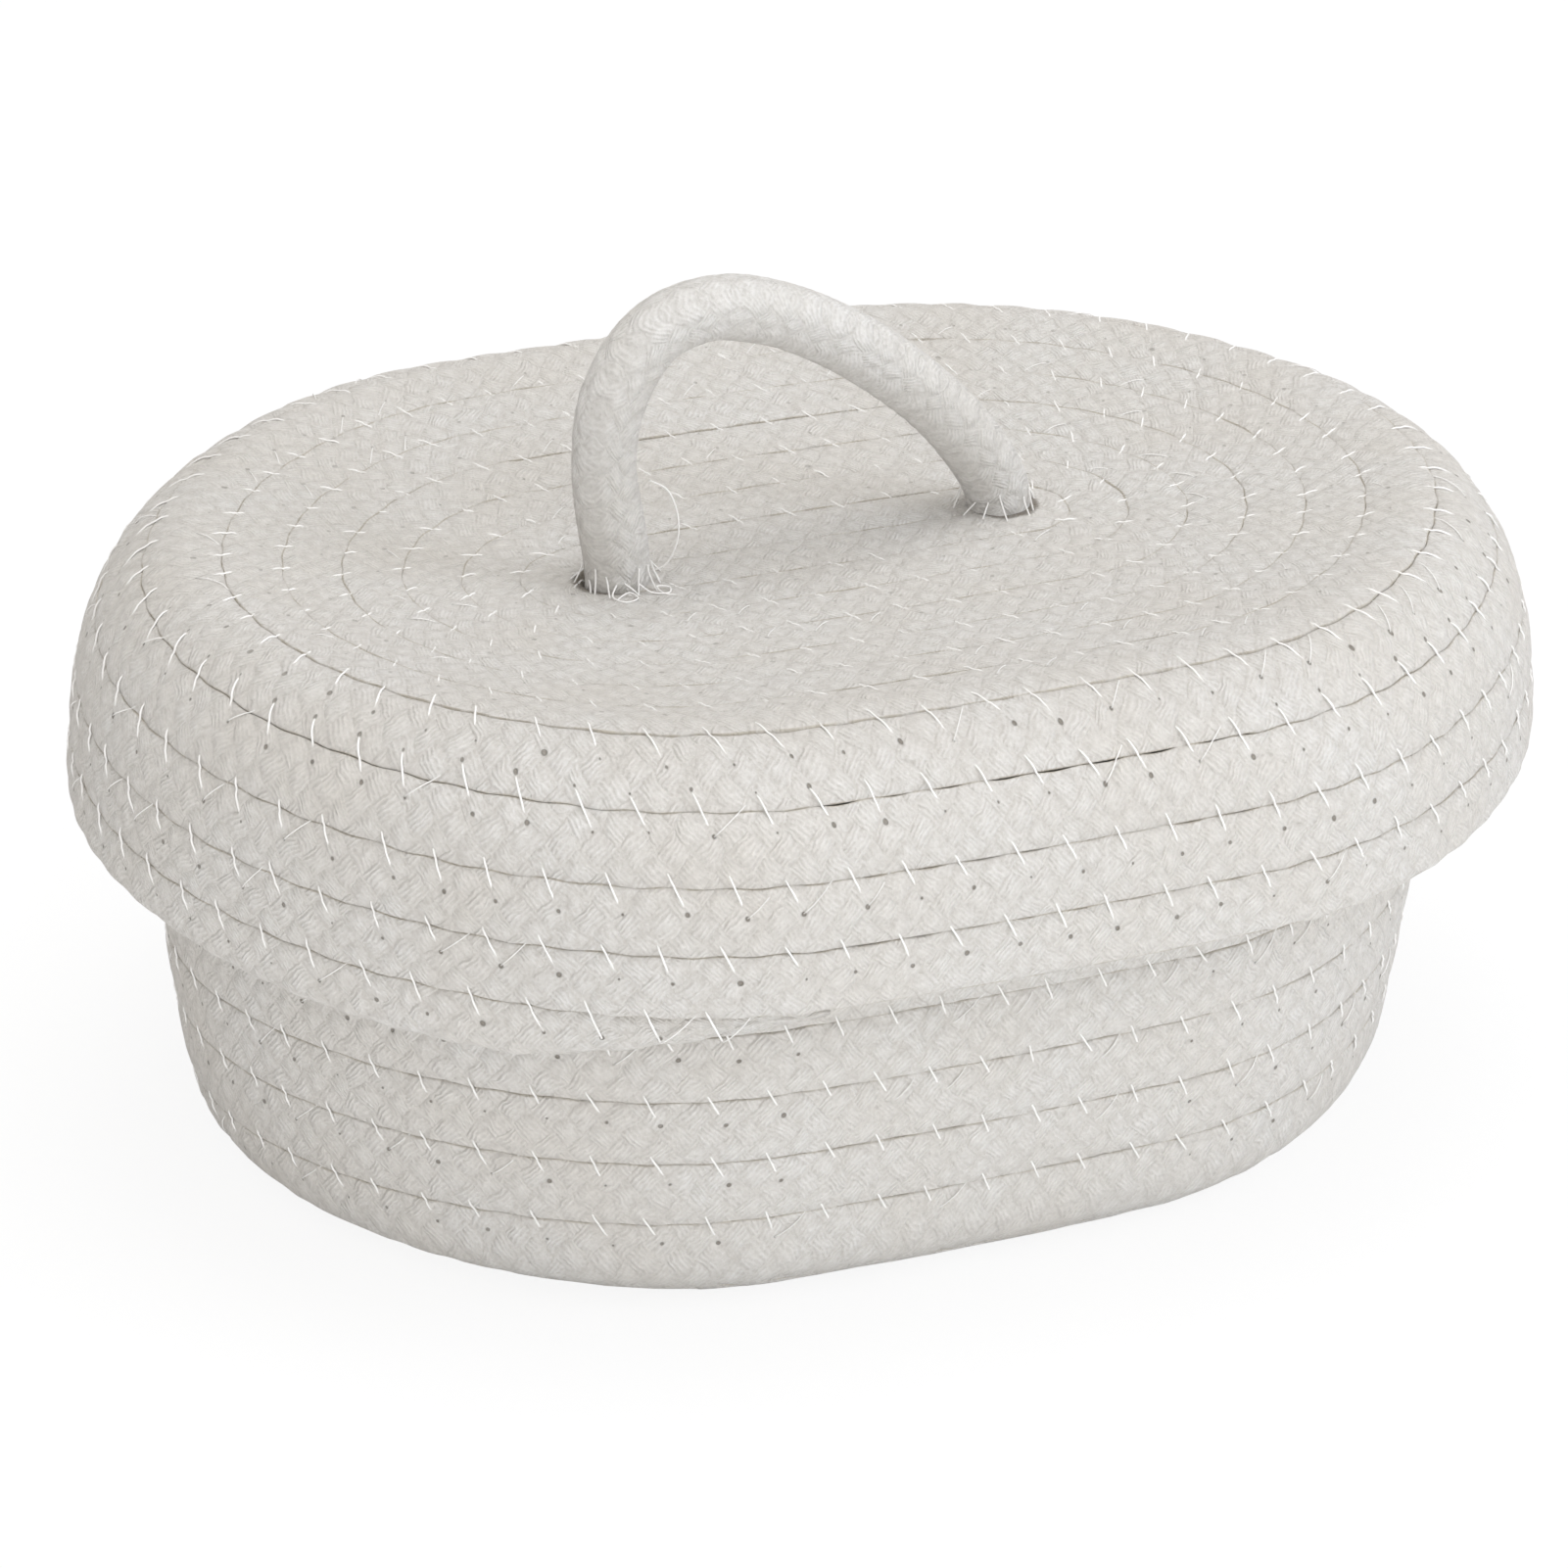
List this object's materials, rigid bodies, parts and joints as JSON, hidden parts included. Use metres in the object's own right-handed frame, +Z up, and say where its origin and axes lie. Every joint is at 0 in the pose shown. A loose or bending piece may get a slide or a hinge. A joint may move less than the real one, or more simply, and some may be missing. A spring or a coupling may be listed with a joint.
{
  "type": "rope storage basket",
  "caption": "Oval storage basket coiled from cotton rope, with a coiled lid that drops over its rim and an arched rope handle to lift the lid by.",
  "frame": {"origin": "on the ground, under the middle of the whole object's box", "axes": "+Z up, +X along the long side of the oval, +Y to the back; the rope's tip on the lid is at the front left"},
  "size_m": [0.3176, 0.2544, 0.1842],
  "materials": {
    "basket_rope": "matt braided cotton, natural off-white",
    "lid_rope": "matt braided cotton, natural off-white",
    "handle_rope": "matt braided cotton, natural off-white",
    "seam_thread": "white sewing thread in a zigzag stitch",
    "handle_thread": "white sewing thread"
  },
  "bodies": {
    "basket": {"basket_coil": "basket_rope", "basket_thread": "seam_thread"},
    "lid": {"lid_coil": "lid_rope", "lid_thread": "seam_thread", "lid_handle": "handle_rope", "handle_stitch_left": "handle_thread", "handle_stitch_right": "handle_thread"}
  },
  "joints": [
    {"name": "lid_lift", "type": "slide", "parent": "basket", "child": "lid", "axis": [0, 0, 1], "range_m": [0, 0.075]}
  ]
}
